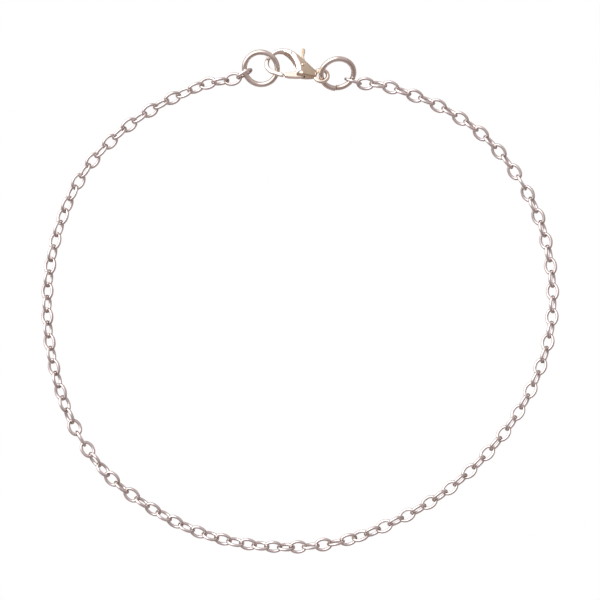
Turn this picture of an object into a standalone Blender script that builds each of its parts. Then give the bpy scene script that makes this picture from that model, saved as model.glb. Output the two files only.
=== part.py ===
"""Fine cable chain bracelet with a lobster clasp, lying open in a ring on a flat surface.

X runs to the right and Y away from the wearer's side, seen from above, and +Z is up.
The clasp is at the far side, with a jump ring at each of its ends. The chain runs from the
left jump ring all the way round to the right one.
"""

import math

import bmesh
import bpy
import numpy as np
from mathutils import Euler, Matrix, Vector

MM = 0.001

# Chain link, an oval of round wire
LINK_LENGTH = 2.42 * MM
LINK_WIDTH = 1.90 * MM
LINK_WIRE = 0.35 * MM
LINK_STEPS = 10  # straight pieces round one link, with one square across each end
WIRE_SIDES = 5
SEAT_DEPTH = 0.05 * MM  # how far one link's wire beds into the next
HALF_GAP = 0.06 * MM  # free play where the two halves of the chain hook together
MOST_STEP = 0.12 * MM  # most that a link's middle lies above or below the next one's

# Jump rings
RING_OUTER = 5.15 * MM
RING_WIRE = 0.70 * MM
RING_STEPS = 18
RING_SIDES = 8
RING_SEAM = 0.10 * MM  # gap between the two cut ends
RING_OFFSET = 0.09 * MM  # how far one cut end stands beside the other

LOOP_RADIUS = 33.5 * MM  # of the whole bracelet as it lies, on average

# Where the clasp's eyelet is, as shares of the loop's radius, and how the clasp lies
EYELET_PLACE = Vector((0.090, 0.906))
CLASP_TURN = math.radians(-11)
CLASP_ROLL = math.radians(-20)
CLASP_PITCH = math.radians(-1)

# Clasp body, in its own frame: X towards the eyelet, Y towards the back, Z out of its face
CLASP_REACH = 7.83 * MM  # from the eyelet's middle to the hook's nose
CLASP_CREST = 2.76 * MM  # from the eyelet's middle to the highest point of the back
CLASP_THICKNESS = 2.12 * MM  # at the rim of the trunk
EYELET_PLAY = 0.27 * MM  # round the jump ring's wire
EYELET_WIRE = 0.46 * MM
EYELET_STEPS = 14
EYELET_SIDES = 8
RIM_WIDTH = 0.60 * MM
EDGE_ROUND = 0.13 * MM
EDGE_SHARE = 0.55  # share of the thickness that stays square to the face
MOST_RIM = 0.55  # share of a section's width that its rim may take
# One row for each section, from the eyelet round the hook to its tip, as shares of the three
# sizes above: where it meets the opening, where it meets the back, and its thickness at each.
CLASP_SECTIONS = [
    # open x, open y, back x, back y, at opening, at back
    (-0.092, -0.138, -0.092, 0.145, 0.377, 0.377),
    (-0.153, -0.203, -0.153, 0.246, 0.509, 0.491),
    (-0.255, -0.239, -0.262, 0.435, 0.717, 0.623),
    (-0.364, -0.246, -0.377, 0.638, 0.877, 0.736),
    (-0.434, -0.225, -0.479, 0.790, 0.981, 0.792),
    (-0.453, 0.036, -0.549, 0.884, 1.000, 0.811),
    (-0.492, 0.290, -0.607, 0.949, 1.000, 0.830),
    (-0.543, 0.489, -0.664, 0.993, 1.000, 0.868),
    (-0.613, 0.670, -0.728, 1.000, 0.991, 0.906),
    (-0.702, 0.768, -0.792, 0.964, 0.925, 0.868),
    (-0.792, 0.743, -0.862, 0.862, 0.717, 0.679),
    (-0.868, 0.623, -0.926, 0.696, 0.491, 0.472),
    (-0.920, 0.442, -0.973, 0.493, 0.377, 0.377),
    (-0.943, 0.236, -1.000, 0.254, 0.358, 0.358),
    (-0.939, 0.029, -1.000, -0.007, 0.330, 0.330),
    (-0.904, -0.130, -0.955, -0.232, 0.311, 0.311),
    (-0.843, -0.232, -0.872, -0.380, 0.292, 0.292),
    (-0.766, -0.261, -0.777, -0.413, 0.274, 0.274),
    (-0.696, -0.283, -0.696, -0.435, 0.264, 0.264),
    (-0.654, -0.326, -0.622, -0.449, 0.236, 0.236),
]

# Lever, its pin and its slot, with their outlines as shares of the clasp's reach and crest
PIN_PLACE = (-0.351, 0.275)
PIN_DIAMETER = 0.40 * MM
PIN_LENGTH = 1.70 * MM
PIN_STEPS = 12
PIN_PLAY = 0.03 * MM
LEVER_THICKNESS = 0.72 * MM
LEVER_PLAY = 0.05 * MM  # between the lever and each wall of its slot
LEVER_OUTLINE = [
    # from the thumb knob down its left side, along the gate and back up
    (-0.420, 1.185), (-0.429, 1.123), (-0.421, 0.580), (-0.411, 0.254), (-0.414, 0.036),
    (-0.447, -0.094), (-0.549, -0.188), (-0.642, -0.279), (-0.603, -0.431), (-0.536, -0.435),
    (-0.409, -0.377), (-0.319, -0.312), (-0.291, -0.217), (-0.289, 0.109), (-0.286, 0.435),
    (-0.332, 0.594), (-0.363, 0.797), (-0.360, 1.123), (-0.369, 1.185), (-0.395, 1.210),
]
SLOT_OUTLINE = [
    (-0.549, -0.580), (-0.549, 0.181), (-0.479, 0.362), (-0.447, 0.543), (-0.447, 1.304),
    (-0.185, 1.304), (-0.223, 0.435), (-0.243, -0.580),
]

# Where the rings hang on the clasp, and how they lean
HOOK_PLACE = (-0.759, 0.370)  # middle of the wire inside the hook, as shares of reach and crest
LEFT_LIFT = 0.46 * MM  # the hook holds the ring this far off the surface
LEFT_LEAN = Euler((math.radians(19), math.radians(-4), 0))
LEFT_SEAM_AT = math.radians(-20)
RIGHT_PLACE = Vector((-0.05, 0.30, -0.10)) * MM  # ring's wire from the eyelet's middle
RIGHT_LEAN = Euler((math.radians(34), math.radians(8), 0))
RIGHT_SEAM_AT = math.radians(-91)

# Where the end links hang in the rings, and how
FIRST_LINK_AT = math.radians(183.4)  # direction from the ring's middle
FIRST_LINK_PLAY = 0.343 * MM  # between the ring's wire and the link's
LAST_LINK_AT = math.radians(-30.9)
LAST_LINK_PLAY = 0.395 * MM

# The chain's way round, chosen by hand, as shares of the loop's radius: the outer end of each
# end link and of the link after it, and then the distance from the middle of the bracelet at
# equal angles, turning left from just left of the clasp.
LEFT_WAY = [Vector((-0.259, 0.897)), Vector((-0.321, 0.885))]
RIGHT_WAY = [Vector((0.319, 0.873)), Vector((0.246, 0.879))]
WAY_FROM = math.radians(114)
WAY_TO = math.radians(426)
WAY_SHARES = [
    0.954, 0.972, 0.994, 1.012, 1.013, 1.015, 1.019, 1.027, 1.040, 1.043, 1.028, 1.018, 1.004,
    0.993, 0.984, 0.970, 0.970, 0.975, 0.988, 1.006, 1.022, 1.025, 1.025, 1.015, 0.999, 0.969,
    0.939,
]
WAY_SAMPLES = 24  # points between two chosen ones

# How the links lean round the chain's own line: (share of the chain, degrees). Each link is a
# quarter turn on from the one before it, and the whole chain twists slowly as it goes.
CHAIN_TWIST = [
    (0.000, 12), (0.009, 15), (0.027, 25), (0.040, 45), (0.062, 60), (0.142, 60), (0.155, 45),
    (0.177, 30), (0.292, 28), (0.305, 45), (0.319, 80), (0.336, 80), (0.350, 45), (0.363, 12),
    (0.381, 8), (0.398, 28), (0.487, 30), (0.504, 15), (0.531, 10), (0.549, 45), (0.566, 60),
    (0.850, 62), (0.858, 85), (0.867, 70), (0.991, 65), (1.000, 85),
]


def clear_scene():
    for thing in list(bpy.data.objects):
        bpy.data.objects.remove(thing)


def metal(name, colour, roughness):
    made = bpy.data.materials.new(name)
    made.use_nodes = True
    shader = made.node_tree.nodes["Principled BSDF"]
    shader.inputs["Base Color"].default_value = (*colour, 1)
    shader.inputs["Metallic"].default_value = 1
    shader.inputs["Roughness"].default_value = roughness
    return made


def add_object(name, bm, material, parent):
    """Turns the faces outwards and makes them a smooth shaded object."""
    bmesh.ops.recalc_face_normals(bm, faces=bm.faces)
    mesh = bpy.data.meshes.new(name)
    bm.to_mesh(mesh)
    bm.free()
    mesh.shade_smooth()
    mesh.set_sharp_from_angle(angle=math.radians(50))
    made = bpy.data.objects.new(name, mesh)
    bpy.context.scene.collection.objects.link(made)
    made.parent = parent
    if material:
        mesh.materials.append(material)
    return made


def combine(made, helper, operation):
    """Joins or cuts with a helper that isn't part of the bracelet itself."""
    helper.hide_render = True
    helper.display_type = "WIRE"
    modifier = made.modifiers.new(helper.name, "BOOLEAN")
    modifier.operation = operation
    modifier.solver = "EXACT"
    modifier.object = helper


def skin(bm, sections, closed):
    """Joins sections of equally many points into a tube. An open one gets two end caps."""
    loops = [[bm.verts.new(point) for point in section] for section in sections]
    following = loops[1:] + loops[:1] if closed else loops[1:]
    for loop, other in zip(loops, following):
        for i in range(len(loop)):
            j = (i + 1) % len(loop)
            bm.faces.new((loop[i], loop[j], other[j], other[i]))
    if not closed:
        bm.faces.new(loops[0][::-1])
        bm.faces.new(loops[-1])


def wire_section(middle, outward, up, radius, sides, stretch):
    """A polygon round the wire's middle, with its first corner on the inner side."""
    points = []
    for i in range(sides):
        angle = math.pi + math.tau * i / sides
        sideways = outward * (radius * math.cos(angle) * stretch)
        points.append(middle + sideways + up * (radius * math.sin(angle)))
    return points


def facet_radius(diameter, sides):
    """Corner radius of the polygon that holds as much metal as the round wire."""
    return diameter * math.sqrt(math.pi / (2 * sides * math.sin(math.tau / sides)))


def link_corner():
    return facet_radius(LINK_WIRE, WIRE_SIDES)


def link_sections():
    """One link lying flat, its length along X."""
    step = math.tau / LINK_STEPS
    half_long = (LINK_LENGTH - LINK_WIRE) / 2 / math.cos(step / 2)
    half_wide = (LINK_WIDTH - LINK_WIRE) / 2
    sections = []
    for k in range(LINK_STEPS):
        angle = step * (k + 0.5)
        middle = Vector((half_long * math.cos(angle), half_wide * math.sin(angle), 0))
        outward = Vector((math.cos(angle) / half_long, math.sin(angle) / half_wide, 0)).normalized()
        stretch = 1 / math.cos(step / 2)
        sections.append(
            wire_section(middle, outward, Vector((0, 0, 1)), link_corner(), WIRE_SIDES, stretch)
        )
    return sections


def link_pitch():
    """From one link's middle to the next, where each beds into its neighbour."""
    return LINK_LENGTH - LINK_WIRE - 2 * link_corner() + SEAT_DEPTH


def smooth_line(chosen, samples):
    """A smooth curve through the chosen points."""
    points = [2 * chosen[0] - chosen[1], *chosen, 2 * chosen[-1] - chosen[-2]]
    line = []
    for before, here, after, beyond in zip(points, points[1:], points[2:], points[3:]):
        for i in range(samples):
            t = i / samples
            line.append(
                0.5
                * (
                    2 * here
                    + (after - before) * t
                    + (2 * before - 5 * here + 4 * after - beyond) * t**2
                    + (3 * here - before - 3 * after + beyond) * t**3
                )
            )
    line.append(chosen[-1])
    return np.array(line)


def inner_end(ring, at, play):
    """Where an end link's inner end is, in its ring and seen from above."""
    distance = ring_radius() - RING_WIRE / 2 - play - LINK_WIRE
    return ring.xy + Vector((math.cos(at), math.sin(at))) * distance


def chain_line(first_ring, last_ring):
    """The chain's middle line, seen from above."""
    angles = np.linspace(WAY_FROM, WAY_TO, len(WAY_SHARES))
    round_way = [
        Vector((math.cos(angle), math.sin(angle))) * share
        for angle, share in zip(angles, WAY_SHARES)
    ]
    way = [point * LOOP_RADIUS for point in (*LEFT_WAY, *round_way, *RIGHT_WAY)]
    start = inner_end(first_ring, FIRST_LINK_AT, FIRST_LINK_PLAY)
    end = inner_end(last_ring, LAST_LINK_AT, LAST_LINK_PLAY)
    return smooth_line([start, *way, end], WAY_SAMPLES)


def link_distances(length):
    """How far along the line each link's middle is. The two halves keep a small gap."""
    gap = HALF_GAP + SEAT_DEPTH
    run = length - LINK_LENGTH + gap
    count = 1 + 2 * round((run / link_pitch() - 1) / 2) + 1
    pitch = run / (count - 1)
    return [
        LINK_LENGTH / 2 + pitch * i - (gap if i >= count // 2 else 0) for i in range(count)
    ]


def link_twists(count):
    """Each link's lean from lying flat, in radians."""
    shares, degrees = zip(*CHAIN_TWIST)
    base = np.interp(np.linspace(0, 1, count), shares, degrees)
    return [math.radians(base[i] + 90 * (i + 1)) for i in range(count)]


def ring_height(middle, lean, place):
    """How high the ring's plane is at this place, seen from above."""
    normal = lean.to_matrix() @ Vector((0, 0, 1))
    return middle.z - normal.xy.dot(place.xy - middle.xy) / normal.z


def link_heights(twists, first_held, last_held):
    """Each link rests on the surface, unless a ring or its neighbours hold it up."""
    reach = (LINK_WIDTH - LINK_WIRE) / 2
    heights = [reach * abs(math.sin(twist)) + link_corner() for twist in twists]
    heights[0] = max(heights[0], first_held)
    heights[-1] = max(heights[-1], last_held)
    for _ in range(2):
        for i in range(len(heights)):
            near = heights[max(i - 1, 0) : i + 2]
            heights[i] = max(heights[i], max(near) - MOST_STEP)
    return heights


def link_places(first_ring, last_ring):
    """A matrix for each link, from the left jump ring round to the right one."""
    line = chain_line(first_ring, last_ring)
    steps = np.linalg.norm(np.diff(line, axis=0), axis=1)
    travelled = np.concatenate([[0], np.cumsum(steps)])
    distances = link_distances(travelled[-1])
    twists = link_twists(len(distances))
    reach = LINK_LENGTH / 4

    def line_point(at):
        return Vector((*[np.interp(at, travelled, line[:, axis]) for axis in (0, 1)], 0))

    middles = [line_point(distance) for distance in distances]
    first_held = ring_height(first_ring, LEFT_LEAN, middles[0])
    last_held = ring_height(last_ring, RIGHT_LEAN, middles[-1])
    heights = link_heights(twists, first_held, last_held)
    places = []
    for distance, here, twist, height in zip(distances, middles, twists, heights):
        along = (line_point(distance + reach) - line_point(distance - reach)).normalized()
        side = Vector((0, 0, 1)).cross(along)
        across = side * math.cos(twist) + Vector((0, 0, 1)) * math.sin(twist)
        turn = Matrix((along, across, along.cross(across))).transposed().to_4x4()
        places.append(Matrix.Translation(here + Vector((0, 0, height))) @ turn)
    return places


def links_object(name, places, material, parent):
    bm = bmesh.new()
    sections = link_sections()
    for place in places:
        skin(bm, [[place @ point for point in section] for section in sections], True)
    return add_object(name, bm, material, parent)


def chain_half(name, places, material, parent):
    """Every second link, joined by the links between them into one soldered run."""
    half = links_object(name, places[0::2], material, parent)
    combine(half, links_object(name + "_between", places[1::2], None, parent), "UNION")
    return half


def ring_radius():
    return (RING_OUTER - RING_WIRE) / 2


def jump_ring(name, middle, lean, seam_at, material, parent):
    """An open ring of round wire, its two cut ends a little out of line."""
    radius = ring_radius()
    corner = facet_radius(RING_WIRE, RING_SIDES)
    opening = RING_SEAM / radius
    sections = []
    for i in range(RING_STEPS + 1):
        share = i / RING_STEPS
        angle = seam_at + opening / 2 + (math.tau - opening) * share
        outward = Vector((math.cos(angle), math.sin(angle), 0))
        up = Vector((0, 0, 1))
        point = outward * radius + up * (RING_OFFSET * (share - 0.5))
        sections.append(wire_section(point, outward, up, corner, RING_SIDES, 1))
    bm = bmesh.new()
    skin(bm, sections, False)
    made = add_object(name, bm, material, parent)
    made.location = middle
    made.rotation_euler = lean
    return made


def clasp_point(shares, z=0):
    """A point of the clasp's own frame, from its shares of the reach and of the crest."""
    return Vector((shares[0] * CLASP_REACH, shares[1] * CLASP_CREST, z))


def clasp_section(row):
    """A flat sided section with rounded edges. Its rim beside the opening is the highest."""
    start = clasp_point(row[0:2])
    across = clasp_point(row[2:4]) - start
    half_open, half_back = [share * CLASP_THICKNESS / 2 for share in row[4:6]]
    width = across.length
    across.normalize()
    edge = min(EDGE_ROUND, width / 4)
    rim = min(RIM_WIDTH, width * MOST_RIM)
    upper = [
        (0, half_open * EDGE_SHARE),
        (edge, half_open),
        (rim, half_open),
        (width - edge, half_back),
        (width, half_back * EDGE_SHARE),
    ]
    profile = upper + [(distance, -half) for distance, half in reversed(upper)]
    return [start + across * distance + Vector((0, 0, half)) for distance, half in profile]


def eyelet_radius():
    return RING_WIRE / 2 + EYELET_PLAY + EYELET_WIRE / 2


def eyelet_sections():
    corner = facet_radius(EYELET_WIRE, EYELET_SIDES)
    sections = []
    for i in range(EYELET_STEPS):
        angle = math.tau * (i + 0.5) / EYELET_STEPS
        outward = Vector((math.cos(angle), math.sin(angle), 0))
        up = Vector((0, 0, 1))
        sections.append(
            wire_section(outward * eyelet_radius(), outward, up, corner, EYELET_SIDES, 1)
        )
    return sections


def plate(outline, half):
    """An outline in the clasp's shares, as a plate of this half thickness."""
    bm = bmesh.new()
    skin(bm, [[clasp_point(shares, z) for shares in outline] for z in (-half, half)], False)
    return bm


def pin_shape(diameter, half):
    sections = []
    for z in (-half, half):
        sections.append(
            [
                clasp_point(PIN_PLACE, z)
                + Vector((math.cos(angle), math.sin(angle), 0)) * diameter / 2
                for angle in np.arange(PIN_STEPS) * math.tau / PIN_STEPS
            ]
        )
    bm = bmesh.new()
    skin(bm, sections, False)
    return bm


def clasp_body(material, parent):
    bm = bmesh.new()
    skin(bm, [clasp_section(row) for row in CLASP_SECTIONS], False)
    body = add_object("clasp_body", bm, material, parent)
    bm = bmesh.new()
    skin(bm, eyelet_sections(), True)
    combine(body, add_object("eyelet", bm, None, parent), "UNION")
    slot = plate(SLOT_OUTLINE, LEVER_THICKNESS / 2 + LEVER_PLAY)
    combine(body, add_object("slot", slot, None, parent), "DIFFERENCE")
    hole = pin_shape(PIN_DIAMETER + 2 * PIN_PLAY, 2 * PIN_LENGTH)
    combine(body, add_object("pin_hole", hole, None, parent), "DIFFERENCE")
    return body


def clasp_lever(material, parent):
    lever = add_object("clasp_lever", plate(LEVER_OUTLINE, LEVER_THICKNESS / 2), material, parent)
    hole = pin_shape(PIN_DIAMETER + 2 * PIN_PLAY, 2 * PIN_LENGTH)
    combine(lever, add_object("lever_hole", hole, None, parent), "DIFFERENCE")
    return lever


def lowest(turn):
    """The clasp's lowest point below its eyelet's middle, once it is turned."""
    points = [point for row in CLASP_SECTIONS for point in clasp_section(row)]
    return min((turn @ point).z for point in points)


def stand_on_origin(base):
    """Puts the middle of the whole bracelet over the origin, and its lowest point at zero."""
    bpy.context.view_layer.update()
    graph = bpy.context.evaluated_depsgraph_get()
    corners = []
    for thing in bpy.data.objects:
        if thing.type == "MESH" and not thing.hide_render:
            shape = thing.evaluated_get(graph)
            corners += [shape.matrix_world @ vertex.co for vertex in shape.data.vertices]
    low = np.min(corners, axis=0)
    high = np.max(corners, axis=0)
    base.location = (-(low[0] + high[0]) / 2, -(low[1] + high[1]) / 2, -low[2])


def main():
    clear_scene()
    silver = metal("silver_plate", (0.82, 0.78, 0.76), 0.18)
    nickel = metal("nickel_plate", (0.72, 0.66, 0.57), 0.22)
    base = bpy.data.objects.new("bracelet", None)
    bpy.context.scene.collection.objects.link(base)

    turn = Euler((CLASP_ROLL, CLASP_PITCH, CLASP_TURN)).to_matrix()
    eyelet = Vector((*EYELET_PLACE * LOOP_RADIUS, -lowest(turn)))
    clasp = bpy.data.objects.new("clasp", None)
    bpy.context.scene.collection.objects.link(clasp)
    clasp.parent = base
    clasp.location = eyelet
    clasp.rotation_euler = turn.to_euler()
    clasp_body(nickel, clasp)
    clasp_lever(nickel, clasp)
    add_object("pivot_pin", pin_shape(PIN_DIAMETER, PIN_LENGTH / 2), nickel, clasp)

    radius = ring_radius()
    left_ring = eyelet + clasp_point(HOOK_PLACE) - Vector((radius, 0, 0))
    left_ring.z = radius * math.sin(LEFT_LEAN.x) + RING_WIRE / 2 + LEFT_LIFT
    right_ring = eyelet + RIGHT_PLACE + Vector((radius, 0, 0))
    jump_ring("jump_ring_left", left_ring, LEFT_LEAN, LEFT_SEAM_AT, silver, base)
    jump_ring("jump_ring_right", right_ring, RIGHT_LEAN, RIGHT_SEAM_AT, silver, base)

    places = link_places(left_ring, right_ring)
    middle = len(places) // 2
    chain_half("chain_left", places[:middle], silver, base)
    chain_half("chain_right", places[middle:], silver, base)
    stand_on_origin(base)


main()
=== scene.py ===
# Fine cable chain bracelet with a lobster clasp, seen from straight above on white
import math

import bmesh
import bpy
import numpy as np
from mathutils import Euler, Matrix, Vector
from mathutils.geometry import delaunay_2d_cdt


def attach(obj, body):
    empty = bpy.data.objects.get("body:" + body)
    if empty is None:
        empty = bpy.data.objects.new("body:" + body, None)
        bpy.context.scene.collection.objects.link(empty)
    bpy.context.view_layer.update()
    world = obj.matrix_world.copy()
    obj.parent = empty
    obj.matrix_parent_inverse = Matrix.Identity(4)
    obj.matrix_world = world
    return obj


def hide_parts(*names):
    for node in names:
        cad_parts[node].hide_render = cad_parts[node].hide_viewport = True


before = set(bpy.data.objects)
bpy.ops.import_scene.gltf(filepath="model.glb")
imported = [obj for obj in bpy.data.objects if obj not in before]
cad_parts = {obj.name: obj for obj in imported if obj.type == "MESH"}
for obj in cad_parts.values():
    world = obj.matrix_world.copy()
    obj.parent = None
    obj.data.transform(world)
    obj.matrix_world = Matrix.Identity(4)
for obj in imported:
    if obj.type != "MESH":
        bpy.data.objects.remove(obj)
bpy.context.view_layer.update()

print("frame loaded")

mm = 0.001
scene = bpy.context.scene

# of the whole bracelet as it lies, on average
loopRadius = 33.5 * mm
# the CAD model is moved by this much, so that its box stands on the origin
bedShift = Vector((-0.1362, 0.0055, 0.0068)) * mm


# small helpers

def newObject(name, mesh, material):
    made = bpy.data.objects.new(name, mesh)
    scene.collection.objects.link(made)
    if material:
        mesh.materials.clear()
        mesh.materials.append(material)
    return made


def meshFromBmesh(name, bm):
    bmesh.ops.recalc_face_normals(bm, faces=bm.faces)
    mesh = bpy.data.meshes.new(name)
    bm.to_mesh(mesh)
    bm.free()
    return mesh


def bake(thing):
    # the result of the modifiers as a plain mesh, with none left on the object
    bpy.context.view_layer.update()
    graph = bpy.context.evaluated_depsgraph_get()
    mesh = bpy.data.meshes.new_from_object(thing.evaluated_get(graph))
    thing.modifiers.clear()
    thing.data = mesh
    return thing


def splinePoint(chosen, t):
    # a smooth curve through rows of numbers, t counted in rows
    last = len(chosen) - 1
    i = min(int(t), last - 1)
    f = t - i
    here, after = chosen[i], chosen[i + 1]
    before = chosen[i - 1] if i > 0 else 2 * here - after
    beyond = chosen[i + 2] if i + 2 <= last else 2 * after - here
    return 0.5 * (2 * here + (after - before) * f + (2 * before - 5 * here + 4 * after - beyond)
                  * f ** 2 + (3 * here - before - 3 * after + beyond) * f ** 3)


# node groups shared by the three platings
polish = {
    "cloudScale": 900.0, "cloudDetail": 3.0, "cloudRoughness": 0.6, "cloudShare": 0.65,
    "hairScale": 5200.0, "hairDetail": 5.0, "hairRoughness": 0.7, "hairShare": 0.35,
    "from": 0.35, "to": 0.68, "bumpDepth": 0.02 * mm,
}
turning = {"scale": 420.0, "detail": 4.0, "roughness": 0.62, "from": 0.42, "to": 0.70}


def newGroup(name, inputs, outputs):
    group = bpy.data.node_groups.new(name, "ShaderNodeTree")
    for label, kind, value in inputs:
        socket = group.interface.new_socket(label, in_out="INPUT", socket_type=kind)
        if value is not None:
            socket.default_value = value
    for label, kind in outputs:
        group.interface.new_socket(label, in_out="OUTPUT", socket_type=kind)
    return group, group.nodes.new("NodeGroupInput"), group.nodes.new("NodeGroupOutput")


def addNode(tree, kind, links=None, **settings):
    node = tree.nodes.new(kind)
    for key, value in settings.items():
        setattr(node, key, value)
    for label, source in (links or {}).items():
        socket = node.inputs[label]
        if isinstance(source, bpy.types.NodeSocket):
            tree.links.new(source, socket)
        else:
            socket.default_value = source
    return node


def makePolishMarks():
    # faint cloudy polish and fine hairlines, as roughness and as height
    group, given, result = newGroup("polishMarks", [
        ("Vector", "NodeSocketVector", None), ("Smooth", "NodeSocketFloat", 0.12),
        ("Dull", "NodeSocketFloat", 0.3)],
        [("Roughness", "NodeSocketFloat"), ("Height", "NodeSocketFloat")])
    clouds = addNode(group, "ShaderNodeTexNoise", {
        "Vector": given.outputs["Vector"], "Scale": polish["cloudScale"],
        "Detail": polish["cloudDetail"], "Roughness": polish["cloudRoughness"]})
    hairs = addNode(group, "ShaderNodeTexNoise", {
        "Vector": given.outputs["Vector"], "Scale": polish["hairScale"],
        "Detail": polish["hairDetail"], "Roughness": polish["hairRoughness"]})
    blend = addNode(group, "ShaderNodeMath", {
        0: clouds.outputs["Fac"], 1: polish["cloudShare"]}, operation="MULTIPLY")
    both = addNode(group, "ShaderNodeMath", {
        0: hairs.outputs["Fac"], 1: polish["hairShare"], 2: blend.outputs[0]},
        operation="MULTIPLY_ADD")
    spread = addNode(group, "ShaderNodeMapRange", {
        "Value": both.outputs[0], "From Min": polish["from"], "From Max": polish["to"],
        "To Min": given.outputs["Smooth"], "To Max": given.outputs["Dull"]})
    group.links.new(spread.outputs["Result"], result.inputs["Roughness"])
    group.links.new(hairs.outputs["Fac"], result.inputs["Height"])
    return group


def makeTarnish():
    # plating that has turned a little in patches, darker where told (dirt, dark joints and
    # painted shade), and brighter where told (painted highlight and brightening)
    group, given, result = newGroup("tarnish", [
        ("Vector", "NodeSocketVector", None), ("Clean", "NodeSocketColor", (0.8, 0.8, 0.8, 1)),
        ("Turned", "NodeSocketColor", (0.4, 0.35, 0.3, 1)),
        ("Bright", "NodeSocketColor", (0.9, 0.9, 0.9, 1)), ("Patches", "NodeSocketFloat", 0.3),
        ("Dirt", "NodeSocketFloat", 0.0), ("Handled", "NodeSocketFloat", 0.0)],
        [("Color", "NodeSocketColor")])
    patches = addNode(group, "ShaderNodeTexNoise", {
        "Vector": given.outputs["Vector"], "Scale": turning["scale"],
        "Detail": turning["detail"], "Roughness": turning["roughness"]})
    edge = addNode(group, "ShaderNodeMapRange", {
        "Value": patches.outputs["Fac"], "From Min": turning["from"],
        "From Max": turning["to"],
        "To Min": 0.0, "To Max": given.outputs["Patches"]}, interpolation_type="SMOOTHSTEP")
    amount = addNode(group, "ShaderNodeMath", {
        0: edge.outputs["Result"], 1: given.outputs["Dirt"]}, operation="ADD", use_clamp=True)

    def mixColours(share, first, second):
        node = addNode(group, "ShaderNodeMix", {}, data_type="RGBA")
        group.links.new(share, node.inputs["Factor"])
        group.links.new(first, node.inputs[6])
        group.links.new(second, node.inputs[7])
        return node.outputs[2]

    metal = mixColours(amount.outputs[0], given.outputs["Clean"], given.outputs["Turned"])
    metal = mixColours(given.outputs["Handled"], metal, given.outputs["Bright"])
    group.links.new(metal, result.inputs["Color"])
    return group


polishMarks = makePolishMarks()
tarnish = makeTarnish()

silverPlate = {
    "name": "silver_plate", "clean": (0.86, 0.825, 0.83, 1), "turned": (0.44, 0.38, 0.33, 1),
    "bright": (0.92, 0.90, 0.90, 1), "patches": 0.30, "dirt": 0.45, "handled": 0.0,
    "smooth": 0.11, "dull": 0.26, "bump": 0.03,
}
# the clasp's bright colour is its painted highlight, and its darkening share also carries a
# painted shade line
nickelPlate = {
    "name": "nickel_plate", "clean": (0.80, 0.70, 0.56, 1), "turned": (0.46, 0.37, 0.24, 1),
    "bright": (0.97, 0.94, 0.92, 1), "patches": 0.30, "dirt": 0.45, "handled": 1.0,
    "smooth": 0.06, "dull": 0.22, "bump": 0.04,
}
# the ring's full darkening share paints its cut end faces dark, as the shade in the seam
ringPlate = {**silverPlate, "name": "ring_plate", "clean": (0.85, 0.79, 0.75, 1),
             "turned": (0.46, 0.37, 0.26, 1), "patches": 0.45, "dirt": 1.0, "smooth": 0.05,
             "dull": 0.20}


def makePlating(plating, dirtAndShadeMap=None, sheenAndBrighteningMap=None):
    made = bpy.data.materials.new(plating["name"])
    made.use_nodes = True
    tree = made.node_tree
    shader = tree.nodes["Principled BSDF"]
    shader.inputs["Metallic"].default_value = 1
    place = addNode(tree, "ShaderNodeTexCoord").outputs["Object"]
    colour = addNode(tree, "ShaderNodeGroup", node_tree=tarnish)
    for socket in ("Clean", "Turned", "Bright", "Patches"):
        colour.inputs[socket].default_value = plating[socket.lower()]
    tree.links.new(place, colour.inputs["Vector"])
    # the darkening map also carries painted shade, and the brightening map a painted highlight
    for name, socket, most in ((dirtAndShadeMap, "Dirt", plating["dirt"]),
                               (sheenAndBrighteningMap, "Handled", plating["handled"])):
        if name:
            painted = addNode(tree, "ShaderNodeAttribute", attribute_name=name)
            share = addNode(tree, "ShaderNodeMath", {0: painted.outputs["Fac"], 1: most},
                            operation="MULTIPLY")
            tree.links.new(share.outputs[0], colour.inputs[socket])
    tree.links.new(colour.outputs["Color"], shader.inputs["Base Color"])
    marks = addNode(tree, "ShaderNodeGroup", node_tree=polishMarks)
    for socket in ("Smooth", "Dull"):
        marks.inputs[socket].default_value = plating[socket.lower()]
    tree.links.new(place, marks.inputs["Vector"])
    tree.links.new(marks.outputs["Roughness"], shader.inputs["Roughness"])
    bump = addNode(tree, "ShaderNodeBump", {
        "Strength": plating["bump"], "Distance": polish["bumpDepth"]})
    tree.links.new(marks.outputs["Height"], bump.inputs["Height"])
    tree.links.new(bump.outputs["Normal"], shader.inputs["Normal"])
    return made


chainMetal = makePlating(silverPlate, "rubbed")
claspMetal = makePlating(nickelPlate, "dirt", "handled")
ringMetal = makePlating(ringPlate, "seamShade")
print("platings made")

# where the clasp's eyelet is, and how the clasp lies
claspLay = {
    "eyelet": Vector((0.090, 0.906, 0)) * loopRadius,
    "turn": Euler((math.radians(-20), math.radians(-1), math.radians(-11))).to_matrix(),
    "reach": 7.83 * mm, "crest": 2.76 * mm, "thickness": 2.12 * mm,
}
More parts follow.
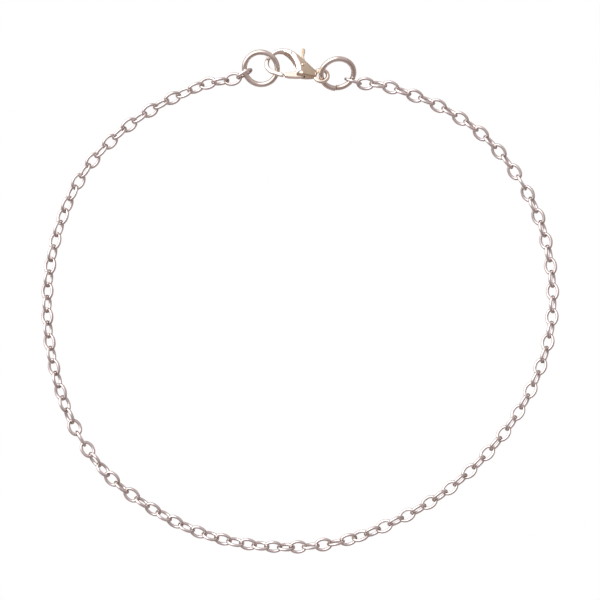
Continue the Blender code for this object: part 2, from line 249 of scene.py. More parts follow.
# sections from the eyelet round the hook to its tip, as shares of reach, crest and thickness:
# where it meets the opening, where it meets the back, and its thickness at each
claspSections = np.array([
    (-0.092, -0.138, -0.092, 0.145, 0.377, 0.377),
    (-0.153, -0.203, -0.153, 0.246, 0.509, 0.491),
    (-0.255, -0.239, -0.262, 0.435, 0.717, 0.623),
    (-0.364, -0.246, -0.377, 0.638, 0.877, 0.736),
    (-0.434, -0.225, -0.479, 0.790, 0.981, 0.792),
    (-0.453, 0.036, -0.549, 0.884, 1.000, 0.811),
    (-0.492, 0.290, -0.607, 0.949, 1.000, 0.830),
    (-0.543, 0.489, -0.664, 0.993, 1.000, 0.868),
    (-0.613, 0.670, -0.728, 1.000, 0.991, 0.906),
    (-0.702, 0.768, -0.792, 0.964, 0.925, 0.868),
    (-0.786, 0.738, -0.862, 0.862, 0.717, 0.679),
    (-0.854, 0.615, -0.926, 0.696, 0.491, 0.472),
    (-0.904, 0.436, -0.973, 0.493, 0.377, 0.377),
    (-0.926, 0.236, -1.000, 0.254, 0.358, 0.358),
    (-0.921, 0.035, -1.000, -0.007, 0.340, 0.330),
    (-0.886, -0.105, -0.955, -0.232, 0.330, 0.311),
    (-0.826, -0.185, -0.872, -0.395, 0.330, 0.300),
    (-0.755, -0.212, -0.780, -0.440, 0.320, 0.290),
    (-0.690, -0.240, -0.700, -0.465, 0.300, 0.280),
    (-0.640, -0.300, -0.635, -0.460, 0.260, 0.250),
])


def claspPoint(x, y, z=0.0):
    return Vector((x * claspLay["reach"], y * claspLay["crest"], z))


# a plain section of the CAD's clasp: its edges and rim, and how far its corners are cut down
plainSection = {"edge": 0.13 * mm, "rim": 0.60 * mm, "rimShare": 0.55, "cornerShare": 0.55}


def lowestClaspPoint():
    # the CAD stands the clasp's plain sections on the surface
    low = 0.0
    half = claspLay["thickness"] / 2
    for row in claspSections:
        start, back = claspPoint(row[0], row[1]), claspPoint(row[2], row[3])
        across = (back - start).normalized()
        width = (back - start).length
        edge = min(plainSection["edge"], width / 4)
        rim = min(plainSection["rim"], width * plainSection["rimShare"])
        for d, h in ((0, row[4] * plainSection["cornerShare"]), (edge, row[4]), (rim, row[4]),
                     (width - edge, row[5]), (width, row[5] * plainSection["cornerShare"])):
            for sign in (1, -1):
                point = start + across * d + Vector((0, 0, sign * h * half))
                low = min(low, (claspLay["turn"] @ point).z)
    return low


eyeletPlace = claspLay["eyelet"] + Vector((0, 0, -lowestClaspPoint()))
claspMatrix = Matrix.Translation(eyeletPlace + bedShift) @ claspLay["turn"].to_4x4()

# how the rings hang
rings = {
    "outer": 5.15 * mm, "wire": 0.70 * mm, "steps": 120, "sides": 24,
    "pinch": 0.94, "slant": 1.2, "bulge": 0.10, "sharpFrom": math.radians(60),
    "left": {"hook": (-0.759, 0.370), "lift": 0.46 * mm,
             "lean": Euler((math.radians(19), math.radians(-4), 0)),
             "seamAt": math.radians(-20), "seam": 0.04 * mm, "offset": 0.05 * mm},
    "right": {"place": Vector((-0.05, 0.30, -0.10)) * mm,
              "lean": Euler((math.radians(34), math.radians(8), 0)),
              "seamAt": math.radians(-91), "seam": 0.16 * mm, "offset": 0.20 * mm},
}
ringRadius = (rings["outer"] - rings["wire"]) / 2
leftRing = eyeletPlace + claspPoint(*rings["left"]["hook"]) - Vector((ringRadius, 0, 0))
leftRing.z = (ringRadius * math.sin(rings["left"]["lean"].x) + rings["wire"] / 2
              + rings["left"]["lift"])
rightRing = eyeletPlace + rings["right"]["place"] + Vector((ringRadius, 0, 0))

# the chain: its route, how its links lean, and the links themselves
chain = {
    "linkLength": 2.42 * mm, "linkWidth": 1.90 * mm, "wire": 0.35 * mm, "plating": 0.07 * mm,
    "pitch": 1.7178 * mm, "halfGap": 0.11 * mm, "mostStep": 0.12 * mm, "corner": 0.2011 * mm,
    "steps": 30, "sides": 10, "lineSteps": 24, "uneven": 0.03, "rubFrom": 0.62, "rubTo": 0.95,
    "firstAt": math.radians(183.4), "firstPlay": 0.343 * mm,
    "lastAt": math.radians(-30.9), "lastPlay": 0.395 * mm,
    "leftWay": [(-0.259, 0.897), (-0.321, 0.885)], "rightWay": [(0.319, 0.873), (0.246, 0.879)],
    "wayFrom": 114, "wayTo": 426,
    "shares": [0.954, 0.972, 0.994, 1.012, 1.013, 1.015, 1.019, 1.027, 1.040, 1.043, 1.028,
               1.018, 1.004, 0.993, 0.984, 0.970, 0.970, 0.975, 0.988, 1.006, 1.022, 1.025,
               1.025, 1.015, 0.999, 0.969, 0.939],
    "twist": [(0.000, 12), (0.009, 15), (0.027, 25), (0.040, 45), (0.062, 60), (0.142, 60),
              (0.155, 45), (0.177, 30), (0.292, 28), (0.305, 45), (0.319, 80), (0.336, 80),
              (0.350, 45), (0.363, 12), (0.381, 8), (0.398, 28), (0.487, 30), (0.504, 15),
              (0.531, 10), (0.549, 45), (0.566, 60), (0.850, 62), (0.858, 85), (0.867, 70),
              (0.991, 65), (1.000, 85)],
}


def innerEnd(ring, at, play):
    distance = ringRadius - rings["wire"] / 2 - play - chain["wire"]
    return ring.xy + Vector((math.cos(at), math.sin(at))) * distance


def ringHeight(middle, lean, place):
    normal = lean.to_matrix() @ Vector((0, 0, 1))
    return middle.z - normal.xy.dot(place.xy - middle.xy) / normal.z


def chainLine():
    angles = np.radians(np.linspace(chain["wayFrom"], chain["wayTo"], len(chain["shares"])))
    roundWay = [(math.cos(a) * r, math.sin(a) * r) for a, r in zip(angles, chain["shares"])]
    way = np.array([*chain["leftWay"], *roundWay, *chain["rightWay"]]) * loopRadius
    start = innerEnd(leftRing, chain["firstAt"], chain["firstPlay"])
    end = innerEnd(rightRing, chain["lastAt"], chain["lastPlay"])
    chosen = np.array([start[:], *way, end[:]])
    steps = chain["lineSteps"]
    line = [splinePoint(chosen, i / steps) for i in range(steps * (len(chosen) - 1) + 1)]
    return np.array(line)


def linkRows():
    # middle, direction and lean of every link, from the left ring round to the right one
    line = chainLine()
    steps = np.linalg.norm(np.diff(line, axis=0), axis=1)
    travelled = np.concatenate([[0], np.cumsum(steps)])
    run = travelled[-1] - chain["linkLength"] + chain["halfGap"]
    count = 1 + 2 * round((run / chain["pitch"] - 1) / 2) + 1
    pitch = run / (count - 1)
    half = count // 2
    distances = [chain["linkLength"] / 2 + pitch * i - (chain["halfGap"] if i >= half else 0)
                 for i in range(count)]
    shares, degrees = zip(*chain["twist"])
    base = np.interp(np.linspace(0, 1, count), shares, degrees)
    leans = [math.radians(base[i] + 90 * (i + 1)) for i in range(count)]

    def linePoint(at):
        return Vector([np.interp(at, travelled, line[:, axis]) for axis in (0, 1)] + [0])

    middles = [linePoint(at) for at in distances]
    reach = (chain["linkWidth"] - chain["wire"]) / 2
    heights = [reach * abs(math.sin(lean)) + chain["corner"] for lean in leans]
    heights[0] = max(heights[0], ringHeight(leftRing, rings["left"]["lean"], middles[0]))
    heights[-1] = max(heights[-1], ringHeight(rightRing, rings["right"]["lean"], middles[-1]))
    for _ in range(2):
        for i in range(count):
            near = heights[max(i - 1, 0):i + 2]
            heights[i] = max(heights[i], max(near) - chain["mostStep"])
    rows = []
    quarter = chain["linkLength"] / 4
    for at, middle, lean, height in zip(distances, middles, leans, heights):
        along = (linePoint(at + quarter) - linePoint(at - quarter)).normalized()
        rows.append((middle + Vector((0, 0, height)) + bedShift, along, lean))
    return rows


def makeLinkTree():
    # one oval link of wire, set at every point of the guide, turned along the chain
    tree = bpy.data.node_groups.new("linksAlongChain", "GeometryNodeTree")
    for label, kind in (("Geometry", "NodeSocketGeometry"), ("Link Length", "NodeSocketFloat"),
                        ("Link Width", "NodeSocketFloat"), ("Wire", "NodeSocketFloat"),
                        ("Steps", "NodeSocketInt"), ("Sides", "NodeSocketInt"),
                        ("Seed", "NodeSocketInt"), ("Unevenness", "NodeSocketFloat"),
                        ("Metal", "NodeSocketMaterial")):
        tree.interface.new_socket(label, in_out="INPUT", socket_type=kind)
    tree.interface.new_socket("Geometry", in_out="OUTPUT", socket_type="NodeSocketGeometry")
    given = tree.nodes.new("NodeGroupInput").outputs
    result = tree.nodes.new("NodeGroupOutput")

    def halfOf(a, b):
        less = addNode(tree, "ShaderNodeMath", {0: a, 1: b}, operation="SUBTRACT")
        return addNode(tree, "ShaderNodeMath", {0: less.outputs[0], 1: 0.5},
                       operation="MULTIPLY").outputs[0]

    halfLong = halfOf(given["Link Length"], given["Wire"])
    halfWide = halfOf(given["Link Width"], given["Wire"])
    size = addNode(tree, "ShaderNodeCombineXYZ", {0: halfLong, 1: halfWide, 2: 1.0})
    loop = addNode(tree, "GeometryNodeCurvePrimitiveCircle", {
        "Resolution": given["Steps"], "Radius": 1.0})
    oval = addNode(tree, "GeometryNodeTransform", {
        "Geometry": loop.outputs[0], "Scale": size.outputs[0]})
    wireRadius = addNode(tree, "ShaderNodeMath", {0: given["Wire"], 1: 0.5},
                         operation="MULTIPLY")
    wire = addNode(tree, "GeometryNodeCurvePrimitiveCircle", {
        "Resolution": given["Sides"], "Radius": wireRadius.outputs[0]})
    link = addNode(tree, "GeometryNodeCurveToMesh", {
        "Curve": oval.outputs[0], "Profile Curve": wire.outputs[0]})
    place = addNode(tree, "GeometryNodeInputPosition")
    parts = addNode(tree, "ShaderNodeSeparateXYZ", {0: place.outputs[0]})
    out = addNode(tree, "ShaderNodeMath", {0: parts.outputs[0]}, operation="ABSOLUTE")
    nearEnd = addNode(tree, "ShaderNodeMath", {0: out.outputs[0], 1: halfLong},
                      operation="DIVIDE")
    rub = addNode(tree, "ShaderNodeMapRange", {
        "Value": nearEnd.outputs[0], "From Min": chain["rubFrom"], "From Max": chain["rubTo"],
        "To Min": 0.0, "To Max": 1.0}, interpolation_type="SMOOTHSTEP")
    marked = addNode(tree, "GeometryNodeStoreNamedAttribute", {
        "Geometry": link.outputs[0], "Name": "rubbed", "Value": rub.outputs["Result"]},
        data_type="FLOAT", domain="POINT")
    smooth = addNode(tree, "GeometryNodeSetShadeSmooth", {"Geometry": marked.outputs[0]})

    along = addNode(tree, "GeometryNodeInputNamedAttribute", {"Name": "along"},
                    data_type="FLOAT_VECTOR")
    lean = addNode(tree, "GeometryNodeInputNamedAttribute", {"Name": "lean"}, data_type="FLOAT")
    facing = addNode(tree, "FunctionNodeAlignRotationToVector", {
        "Vector": along.outputs["Attribute"]}, axis="X", pivot_axis="Z")
    rollTurn = addNode(tree, "FunctionNodeAxisAngleToRotation", {
        "Axis": (1, 0, 0), "Angle": lean.outputs["Attribute"]})
    turned = addNode(tree, "FunctionNodeRotateRotation", {
        "Rotation": facing.outputs[0], "Rotate By": rollTurn.outputs[0]},
        rotation_space="LOCAL")
    low = addNode(tree, "ShaderNodeMath", {0: 1.0, 1: given["Unevenness"]},
                  operation="SUBTRACT")
    lowSize = addNode(tree, "ShaderNodeCombineXYZ", {0: 1.0, 1: low.outputs[0], 2: 1.0})
    uneven = addNode(tree, "FunctionNodeRandomValue", {
        "Min": lowSize.outputs[0], "Max": (1.0, 1.0, 1.0), "Seed": given["Seed"]},
        data_type="FLOAT_VECTOR")
    placed = addNode(tree, "GeometryNodeInstanceOnPoints", {
        "Points": given["Geometry"], "Instance": smooth.outputs[0],
        "Rotation": turned.outputs[0], "Scale": uneven.outputs["Value"]})
    real = addNode(tree, "GeometryNodeRealizeInstances", {"Geometry": placed.outputs[0]})
    coloured = addNode(tree, "GeometryNodeSetMaterial", {
        "Geometry": real.outputs[0], "Material": given["Metal"]})
    tree.links.new(coloured.outputs[0], result.inputs[0])
    return tree


def setInputs(modifier, values):
    for item in modifier.node_group.interface.items_tree:
        if item.item_type == "SOCKET" and item.in_out == "INPUT" and item.name in values:
            modifier[item.identifier] = values[item.name]


def chainPiece(name, rows, tree, seed):
    guide = bpy.data.meshes.new(name + "Guide")
    guide.from_pydata([row[0] for row in rows], [], [])
    guide.attributes.new("along", "FLOAT_VECTOR", "POINT").data.foreach_set(
        "vector", [number for row in rows for number in row[1]])
    guide.attributes.new("lean", "FLOAT", "POINT").data.foreach_set(
        "value", [row[2] for row in rows])
    piece = newObject(name, guide, None)
    modifier = piece.modifiers.new("links", "NODES")
    modifier.node_group = tree
    setInputs(modifier, {
        "Link Length": chain["linkLength"] + chain["plating"],
        "Link Width": chain["linkWidth"] + chain["plating"] / 2,
        "Wire": chain["wire"] + chain["plating"],
        "Steps": chain["steps"], "Sides": chain["sides"],
        "Seed": seed, "Unevenness": chain["uneven"], "Metal": chainMetal})
    return bake(piece)


rows = linkRows()
linkTree = makeLinkTree()
middleLink = len(rows) // 2
chainLeft = chainPiece("links_left", rows[:middleLink], linkTree, 3)
chainRight = chainPiece("links_right", rows[middleLink:], linkTree, 8)
print("chain made:", len(rows), "links")


def sweepWire(name, points, outwards, ups, radius, sides, material):
    # a run of wire with slightly rounded cut ends, whose end faces are marked for painted shade
    # in the seam
    bm = bmesh.new()
    seamShade = bm.verts.layers.float.new("seamShade")
    loops = []
    for point, outward, up in zip(points, outwards, ups):
        loops.append([bm.verts.new(point + outward * (radius * math.cos(a))
                                   + up * (radius * math.sin(a)))
                      for a in np.arange(sides) * math.tau / sides])
    for loop, other in zip(loops, loops[1:]):
        for i in range(sides):
            j = (i + 1) % sides
            bm.faces.new((loop[i], loop[j], other[j], other[i]))
    for loop, inner, outer, up in ((loops[0], points[0], points[1], ups[0]),
                                   (loops[-1], points[-1], points[-2], ups[-1])):
        away = (inner - outer).normalized()
        cap = []
        for vert in loop:
            side = (vert.co - inner) * rings["pinch"]
            slant = -max(side.dot(up), 0) * rings["slant"]
            cap.append(bm.verts.new(inner + side + away * (radius * rings["bulge"] + slant)))
            # the end faces are marked for painted shade
            cap[-1][seamShade] = 1
        for i in range(sides):
            j = (i + 1) % sides
            bm.faces.new((loop[i], loop[j], cap[j], cap[i]))
        bm.faces.new(cap)
    mesh = meshFromBmesh(name, bm)
    mesh.shade_smooth()
    mesh.set_sharp_from_angle(angle=rings["sharpFrom"])
    return newObject(name, mesh, material)


def jumpRing(name, middle, ring):
    turn = ring["lean"].to_matrix()
    opening = ring["seam"] / ringRadius
    points, outwards, ups = [], [], []
    for i in range(rings["steps"] + 1):
        share = i / rings["steps"]
        angle = ring["seamAt"] + opening / 2 + (math.tau - opening) * share
        outward = Vector((math.cos(angle), math.sin(angle), 0))
        lift = ring["offset"] * (share - 0.5)
        points.append(middle + bedShift + turn @ (outward * ringRadius + Vector((0, 0, lift))))
        outwards.append(turn @ outward)
        ups.append(turn @ Vector((0, 0, 1)))
    return sweepWire(name, points, outwards, ups, rings["wire"] / 2, rings["sides"], ringMetal)


ringLeft = jumpRing("ring_left", leftRing, rings["left"])
ringRight = jumpRing("ring_right", rightRing, rings["right"])
print("rings made")

# clasp body: the sections' outline filled and raised, joined with the eyelet, cut for lever
# and pin
castBody = {
    "rowsBetween": 7, "grid": 0.06 * mm, "rowSpacing": 0.87, "clearOfEdge": 0.6,
    "blendNear": 0.15 * mm, "blendPower": -4.0, "edge": 0.26 * mm, "edgeMost": 0.95,
    "rim": 0.66 * mm, "rimFrom": 24, "rimFall": 0.30 * mm, "rimRound": 0.02,
    "crestTo": -0.68, "crestFade": 0.12,
    "hookSlim": 0.4, "slimFrom": -0.7, "hookEdge": 0.14 * mm,
    "bottomAt": -0.05, "bottomFade": 0.1 * mm, "bottomTo": -0.5, "bottomEdge": 0.08 * mm,
    "outset": 0.01 * mm, "smoothing": 0.5, "rounds": 4,
    "eyeletRadius": 0.87 * mm, "eyeletBroad": 0.52 * mm, "eyeletThick": 0.46 * mm,
    "eyeletSteps": 48, "eyeletSides": 20,
    "slot": [(-0.549, -0.580), (-0.549, 0.181), (-0.479, 0.362), (-0.447, 0.543),
             (-0.447, 1.304), (-0.185, 1.304), (-0.230, 0.600), (-0.255, 0.300),
             (-0.274, 0.000), (-0.277, -0.580)],
    "slotHalf": 0.41 * mm, "voxel": 0.04 * mm,
}
# where the body gets a painted highlight on its rim and hook, painted shade in the lower crease,
# and a browner tone towards the eyelet, as shares of reach or lengths
sheenShadeAndTone = {
    "rimWide": 1.15, "rimFade": 0.3, "rimFacing": 0.35, "facingFade": 0.3,
    "hookAt": 0.66, "hookFade": 0.08, "hookFacing": 0.2, "hookShare": 0.5,
    "brownFrom": -0.9 * mm, "brownFade": 1.6 * mm,
    "crease": 0.10 * mm, "creaseSharp": 1.5, "creaseShade": 2.2, "creaseFacing": 0.5,
    "eyeletFrom": -1.0 * mm, "eyeletFade": 0.4 * mm, "eyeletShare": 0.45,
}
pin = {
    "place": (-0.351, 0.275), "diameter": 0.40 * mm, "half": 0.85 * mm, "play": 0.04 * mm,
    "bevel": 0.05 * mm, "sharpFrom": math.radians(40),
}
lever = {
    "half": 0.32 * mm, "voxel": 0.03 * mm, "rounds": 12,
    "dirt": 0.3, "tabDirt": 2, "tabFrom": 0.5, "tabFade": 0.5, "handled": 0.5,
    "outline": [(-0.420, 1.185), (-0.429, 1.123), (-0.421, 0.580), (-0.411, 0.254),
                (-0.414, 0.036), (-0.447, -0.094), (-0.549, -0.188), (-0.642, -0.279),
                (-0.603, -0.431), (-0.536, -0.435), (-0.409, -0.377), (-0.319, -0.312),
                (-0.291, -0.217), (-0.289, 0.109), (-0.286, 0.435), (-0.332, 0.594),
                (-0.363, 0.797), (-0.360, 1.123), (-0.369, 1.185), (-0.395, 1.210)],
}


def plateBmesh(outline, half):
    bm = bmesh.new()
    low = [bm.verts.new(claspPoint(x, y, -half)) for x, y in outline]
    high = [bm.verts.new(claspPoint(x, y, half)) for x, y in outline]
    for i in range(len(outline)):
        j = (i + 1) % len(outline)
        bm.faces.new((low[i], low[j], high[j], high[i]))
    bm.faces.new(low[::-1])
    bm.faces.new(high)
    return bm


def rodBmesh(place, radius, half, sides=32):
    middle = claspPoint(*place)
    bm = bmesh.new()
    loops = [[bm.verts.new(middle + Vector((math.cos(a) * radius, math.sin(a) * radius, z)))
              for a in np.arange(sides) * math.tau / sides] for z in (-half, half)]
    for i in range(sides):
        j = (i + 1) % sides
        bm.faces.new((loops[0][i], loops[0][j], loops[1][j], loops[1][i]))
    bm.faces.new(loops[0][::-1])
    bm.faces.new(loops[1])
    return bm


def combine(piece, helper, operation):
    modifier = piece.modifiers.new(helper.name, "BOOLEAN")
    modifier.operation = operation
    modifier.solver = "EXACT"
    modifier.object = helper


def distanceTo(points, line):
    # from each point to the nearest place on a line of short straight pieces
    best = np.full(len(points), 1e9)
    for a, b in zip(line, line[1:]):
        way = b - a
        share = np.clip(((points - a) @ way) / max(way @ way, 1e-18), 0, 1)
        best = np.minimum(best, np.linalg.norm(points - (a + share[:, None] * way), axis=1))
    return best


def claspEdges():
    # the body's long edges seen from its face, beside the opening and at the back, and half
    # the thickness at each
    count = (len(claspSections) - 1) * castBody["rowsBetween"] + 1
    rows = np.array([splinePoint(claspSections, i / castBody["rowsBetween"])
                     for i in range(count)])
    size = np.array([claspLay["reach"], claspLay["crest"]])
    return rows[:, 0:2] * size, rows[:, 2:4] * size, rows[:, 4:6] * claspLay["thickness"] / 2


def claspThickness(points, openEdge, backEdge, halves):
    # half the thickness, blended from the edges that are near
    known = np.concatenate([openEdge, backEdge])
    away = np.linalg.norm(points[:, None] - known[None], axis=2) + castBody["blendNear"]
    weight = away ** castBody["blendPower"]
    return (weight @ halves.T.ravel()) / weight.sum(axis=1)


def alongBottom(points):
    # 1 along the body's lower edge and 0 elsewhere
    lower = castBody["bottomAt"] * claspLay["crest"] - points[:, 1]
    near = points[:, 0] > castBody["bottomTo"] * claspLay["reach"]
    return np.clip(lower / castBody["bottomFade"], 0, 1) * near


def castHeight(points, openEdge, backEdge, halves, outline):
    # a broad chamfer along the opening, a flat face behind it, well rounded edges and a slim
    # hook arm that stays clear of the left ring
    half = claspThickness(points, openEdge, backEdge, halves)
    fromEdge = distanceTo(points, outline)
    left = 1 - distanceTo(points, openEdge[castBody["rimFrom"]:]) / castBody["rim"]
    fall = castBody["rimFall"] * (left + np.sqrt(left ** 2 + castBody["rimRound"])) / 2
    fade = (points[:, 0] / claspLay["reach"] - castBody["crestTo"]) / castBody["crestFade"]
    half = half - np.clip(fade, 0, 1) * fall
    slimmed = np.clip(-fade - castBody["slimFrom"], 0, 1)
    half = half * (1 - castBody["hookSlim"] * slimmed)
    edge = castBody["edge"] + (castBody["bottomEdge"] - castBody["edge"]) * alongBottom(points)
    edge = edge + castBody["hookEdge"] * slimmed
    turn = np.minimum(edge, half * castBody["edgeMost"])
    near = np.minimum(fromEdge, turn)
    return half - turn + np.sqrt(np.maximum(turn ** 2 - (turn - near) ** 2, 0))


def castBmesh():
    openEdge, backEdge, halves = claspEdges()
    outline = np.concatenate([backEdge, openEdge[::-1], backEdge[:1]])
    ring = []
    for a, b in zip(outline, outline[1:]):
        pieces = max(1, round(np.linalg.norm(b - a) / castBody["grid"]))
        ring += [a + (b - a) * i / pieces for i in range(pieces)]
    ring = np.array(ring)
    low, high = outline.min(axis=0), outline.max(axis=0)
    xs = np.arange(low[0], high[0], castBody["grid"])
    ys = np.arange(low[1], high[1], castBody["grid"] * castBody["rowSpacing"])
    inside = np.array([(x + (row % 2) * castBody["grid"] / 2, y)
                       for row, y in enumerate(ys) for x in xs])
    clear = distanceTo(inside, outline) > castBody["grid"] * castBody["clearOfEdge"]
    inside = inside[clear]
    chosen = [Vector(point) for point in np.concatenate([ring, inside])]
    border = [(i, (i + 1) % len(ring)) for i in range(len(ring))]
    flat, _, faces, given, _, _ = delaunay_2d_cdt(chosen, border, [], 1, 1e-9)
    places = np.array([point[:] for point in flat])
    heights = castHeight(places, openEdge, backEdge, halves, outline)
    bm = bmesh.new()
    top = [bm.verts.new((x, y, h)) for (x, y), h in zip(places, heights)]
    bottom = [bm.verts.new((x, y, -h)) for (x, y), h in zip(places, heights)]
    used = {}
    for face in faces:
        for a, b in zip(face, face[1:] + face[:1]):
            used[(a, b)] = True
        bm.faces.new([top[i] for i in face])
        bm.faces.new([bottom[i] for i in reversed(face)])
    for a, b in list(used):
        if (b, a) not in used:
            bm.faces.new((top[b], top[a], bottom[a], bottom[b]))
    loose = [vert for vert in bm.verts if not vert.link_faces]
    bmesh.ops.delete(bm, geom=loose, context="VERTS")
    return bm


def castClasp():
    body = newObject("clasp_cast", meshFromBmesh("claspCast", castBmesh()), claspMetal)
    bm = bmesh.new()
    steps, sides = castBody["eyeletSteps"], castBody["eyeletSides"]
    loops = []
    for i in range(steps):
        angle = math.tau * i / steps
        outward = Vector((math.cos(angle), math.sin(angle), 0))
        loops.append([bm.verts.new(outward * (castBody["eyeletRadius"] + castBody["eyeletBroad"]
                                              / 2 * math.cos(a))
                                   + Vector((0, 0, castBody["eyeletThick"] / 2 * math.sin(a))))
                      for a in np.arange(sides) * math.tau / sides])
    for loop, other in zip(loops, loops[1:] + loops[:1]):
        for i in range(sides):
            j = (i + 1) % sides
            bm.faces.new((loop[i], loop[j], other[j], other[i]))
    helpers = [newObject("eyelet", meshFromBmesh("eyelet", bm), None)]
    combine(body, helpers[0], "UNION")
    slot = plateBmesh(castBody["slot"], castBody["slotHalf"])
    helpers.append(newObject("slot", meshFromBmesh("slot", slot), None))
    combine(body, helpers[1], "DIFFERENCE")
    hole = rodBmesh(pin["place"], pin["diameter"] / 2 + pin["play"], 2 * pin["half"])
    helpers.append(newObject("pinHole", meshFromBmesh("pinHole", hole), None))
    combine(body, helpers[2], "DIFFERENCE")
    bake(body)
    for helper in helpers:
        bpy.data.objects.remove(helper)
    return body


def soften(piece, voxel, rounds):
    # the edges of a barrelled and plated casting are a little rounded
    remesh = piece.modifiers.new("evenSkin", "REMESH")
    remesh.mode = "VOXEL"
    remesh.voxel_size = voxel
    relax = piece.modifiers.new("barrelled", "SMOOTH")
    relax.factor = castBody["smoothing"]
    relax.iterations = rounds
    fill = piece.modifiers.new("plating", "DISPLACE")
    fill.strength = castBody["outset"]
    fill.mid_level = 0
    bake(piece)
    piece.data.shade_smooth()
    piece.data.materials.clear()
    piece.data.materials.append(claspMetal)


def placeClaspPiece(piece):
    piece.data.transform(claspMatrix)
    piece.data.update()


def paint(piece, handled, dirt):
    for name, values in (("handled", handled), ("dirt", dirt)):
        piece.data.attributes.new(name, "FLOAT", "POINT").data.foreach_set("value", values)


def paintClasp(piece):
    # painted highlight on the up-facing rim and hook, brighter at the eyelet, browner on the
    # trunk towards the eyelet, and a painted shade line in the lower crease
    mesh = piece.data
    flat = np.array([vert.co[:2] for vert in mesh.vertices])
    openEdge, _, _ = claspEdges()
    # a painted shade line along the lower crease, where the slot's shadow falls
    off = np.abs(distanceTo(flat, openEdge[:castBody["rimFrom"]]) - sheenShadeAndTone["crease"])
    crease = sheenShadeAndTone["creaseSharp"] - off / sheenShadeAndTone["crease"] * sheenShadeAndTone["creaseSharp"]
    crease = np.clip(crease, 0, 1) * alongBottom(flat)
    # painted highlight on the up-facing rim band and hook arm
    away = distanceTo(flat, openEdge[castBody["rimFrom"]:])
    handled = np.clip((castBody["rim"] * sheenShadeAndTone["rimWide"] - away)
                      / (castBody["rim"] * sheenShadeAndTone["rimFade"]), 0, 1)
    facing = np.abs(np.array([vert.normal.z for vert in mesh.vertices]))
    handled *= np.clip((facing - sheenShadeAndTone["rimFacing"]) / sheenShadeAndTone["facingFade"], 0, 1)
    hook = np.clip((-flat[:, 0] - sheenShadeAndTone["hookAt"] * claspLay["reach"])
                   / (sheenShadeAndTone["hookFade"] * claspLay["reach"]), 0, 1)
    hook *= np.clip((facing - sheenShadeAndTone["hookFacing"]) / sheenShadeAndTone["facingFade"], 0, 1)
    handled = np.maximum(handled, sheenShadeAndTone["hookShare"] * hook)
    # the trunk is darker and browner towards the eyelet
    dirt = np.clip(1 + (flat[:, 0] - sheenShadeAndTone["brownFrom"]) / sheenShadeAndTone["brownFade"], 0, 1) * (1 - handled)
    dirt = np.maximum(dirt, sheenShadeAndTone["creaseShade"] * crease * (facing > sheenShadeAndTone["creaseFacing"]))
    eyelet = np.clip((flat[:, 0] - sheenShadeAndTone["eyeletFrom"]) / sheenShadeAndTone["eyeletFade"], 0, 1)
    handled = np.maximum(handled * (1 - crease), sheenShadeAndTone["eyeletShare"] * eyelet)
    paint(piece, handled, dirt * (1 - eyelet))


claspCast = castClasp()
soften(claspCast, castBody["voxel"], castBody["rounds"])
paintClasp(claspCast)
placeClaspPiece(claspCast)
print("clasp body made:", len(claspCast.data.polygons), "faces")


def castLever():
    piece = newObject("lever_cast", meshFromBmesh("lever", plateBmesh(lever["outline"],
                                                                      lever["half"])), claspMetal)
    hole = rodBmesh(pin["place"], pin["diameter"] / 2 + pin["play"], 2 * pin["half"])
    helper = newObject("leverHole", meshFromBmesh("leverHole", hole), None)
    combine(piece, helper, "DIFFERENCE")
    bake(piece)
    bpy.data.objects.remove(helper)
    return piece


def paintLever(piece):
    # bright along the gate, more turned on the thumb tab
    high = np.array([vert.co.y for vert in piece.data.vertices]) / claspLay["crest"]
    tab = np.clip((high - lever["tabFrom"]) / lever["tabFade"], 0, 1)
    paint(piece, lever["handled"] * (1 - tab), lever["dirt"] * (1 + lever["tabDirt"] * tab))


leverCast = castLever()
soften(leverCast, lever["voxel"], lever["rounds"])
paintLever(leverCast)
placeClaspPiece(leverCast)


def turnedPin():
    bm = rodBmesh(pin["place"], pin["diameter"] / 2, pin["half"])
    rims = [edge for edge in bm.edges if abs(edge.verts[0].co.z - edge.verts[1].co.z) < 1e-9]
    bmesh.ops.bevel(bm, geom=rims, offset=pin["bevel"], segments=3, affect="EDGES",
                    profile=0.5)
    mesh = meshFromBmesh("pin", bm)
    mesh.shade_smooth()
    mesh.set_sharp_from_angle(angle=pin["sharpFrom"])
    return newObject("pin_turned", mesh, claspMetal)


pinTurned = turnedPin()
placeClaspPiece(pinTurned)
print("lever and pin made")

for piece, node in ((chainLeft, "chain_left"), (chainRight, "chain_right"),
                    (ringLeft, "jump_ring_left"), (ringRight, "jump_ring_right"),
                    (claspCast, "clasp_body"), (pinTurned, "pivot_pin")):
    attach(piece, "bracelet")
    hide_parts(node)
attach(leverCast, "lever")
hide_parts("clasp_lever")

# table top, light and camera
studio = {
    "floorSize": 1.2, "paper": (0.57, 0.51, 0.50, 1), "floorPower": 1.0,
    "roomNear": (0.31, 0.245, 0.24), "roomFar": (0.66, 0.58, 0.565),
    "farSide": (-0.2, 0.95, 0.25),
    "window": (2.2, 2.12, 2.12), "windowAt": 140, "windowUp": 32,
    "windowFrom": 0.53, "windowTo": 1.0,
    "lens": 135, "sensor": 36, "clipFrom": 0.01, "height": 0.3051,
    "middle": (-0.002 * mm, 0.129 * mm),
}


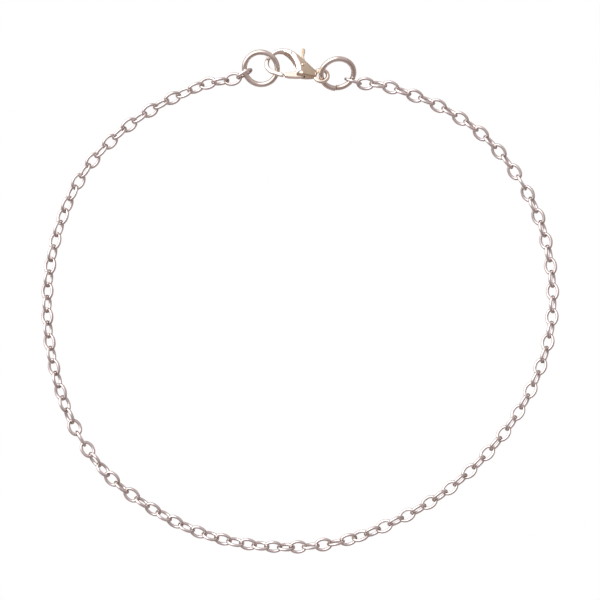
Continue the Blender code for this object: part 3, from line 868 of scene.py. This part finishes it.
def makeFloor():
    mesh = bpy.data.meshes.new("tableTop")
    half = studio["floorSize"] / 2
    mesh.from_pydata([(-half, -half, 0), (half, -half, 0), (half, half, 0), (-half, half, 0)],
                     [], [(0, 1, 2, 3)])
    paper = bpy.data.materials.new("white_paper")
    paper.use_nodes = True
    tree = paper.node_tree
    tree.nodes.remove(tree.nodes["Principled BSDF"])
    seen = addNode(tree, "ShaderNodeLightPath")
    white = addNode(tree, "ShaderNodeEmission", {
        "Color": (1, 1, 1, 1), "Strength": studio["floorPower"]})
    litPaper = addNode(tree, "ShaderNodeBsdfDiffuse", {"Color": studio["paper"]})
    mixed = addNode(tree, "ShaderNodeMixShader", {
        "Fac": seen.outputs["Is Camera Ray"]})
    tree.links.new(litPaper.outputs[0], mixed.inputs[1])
    tree.links.new(white.outputs[0], mixed.inputs[2])
    tree.links.new(mixed.outputs[0], tree.nodes["Material Output"].inputs["Surface"])
    floor = newObject("table_top", mesh, paper)


def makeLight():
    # a dim room that is brighter on the far side, and one broad window
    world = bpy.data.worlds.new("studio")
    scene.world = world
    world.use_nodes = True
    tree = world.node_tree
    direction = addNode(tree, "ShaderNodeTexCoord").outputs["Generated"]

    def towards(way, low, high):
        side = addNode(tree, "ShaderNodeVectorMath", {0: direction, 1: way},
                       operation="DOT_PRODUCT")
        return addNode(tree, "ShaderNodeMapRange", {
            "Value": side.outputs["Value"], "From Min": low, "From Max": high},
            interpolation_type="SMOOTHSTEP").outputs["Result"]

    def blend(share, first, second, how="MIX"):
        node = addNode(tree, "ShaderNodeMix", {}, data_type="RGBA", blend_type=how)
        node.clamp_result = False
        tree.links.new(share, node.inputs["Factor"])
        for socket, value in ((node.inputs[6], first), (node.inputs[7], second)):
            if isinstance(value, bpy.types.NodeSocket):
                tree.links.new(value, socket)
            else:
                socket.default_value = (*value, 1)
        return node.outputs[2]

    at, up = math.radians(studio["windowAt"]), math.radians(studio["windowUp"])
    window = (math.cos(at) * math.cos(up), math.sin(at) * math.cos(up), math.sin(up))
    room = blend(towards(studio["farSide"], -1.0, 1.0), studio["roomNear"], studio["roomFar"])
    lit = blend(towards(window, studio["windowFrom"], studio["windowTo"]), room,
                studio["window"], "ADD")
    tree.links.new(lit, tree.nodes["Background"].inputs["Color"])
    tree.nodes["Background"].inputs["Strength"].default_value = 1.0


def makeCamera():
    lens = bpy.data.cameras.new("camera")
    lens.lens = studio["lens"]
    lens.sensor_width = studio["sensor"]
    lens.clip_start = studio["clipFrom"]
    thing = bpy.data.objects.new("camera", lens)
    thing.location = (*studio["middle"], studio["height"])
    scene.collection.objects.link(thing)
    scene.camera = thing


makeFloor()
makeLight()
makeCamera()
scene.view_settings.view_transform = "Standard"
print("studio made")
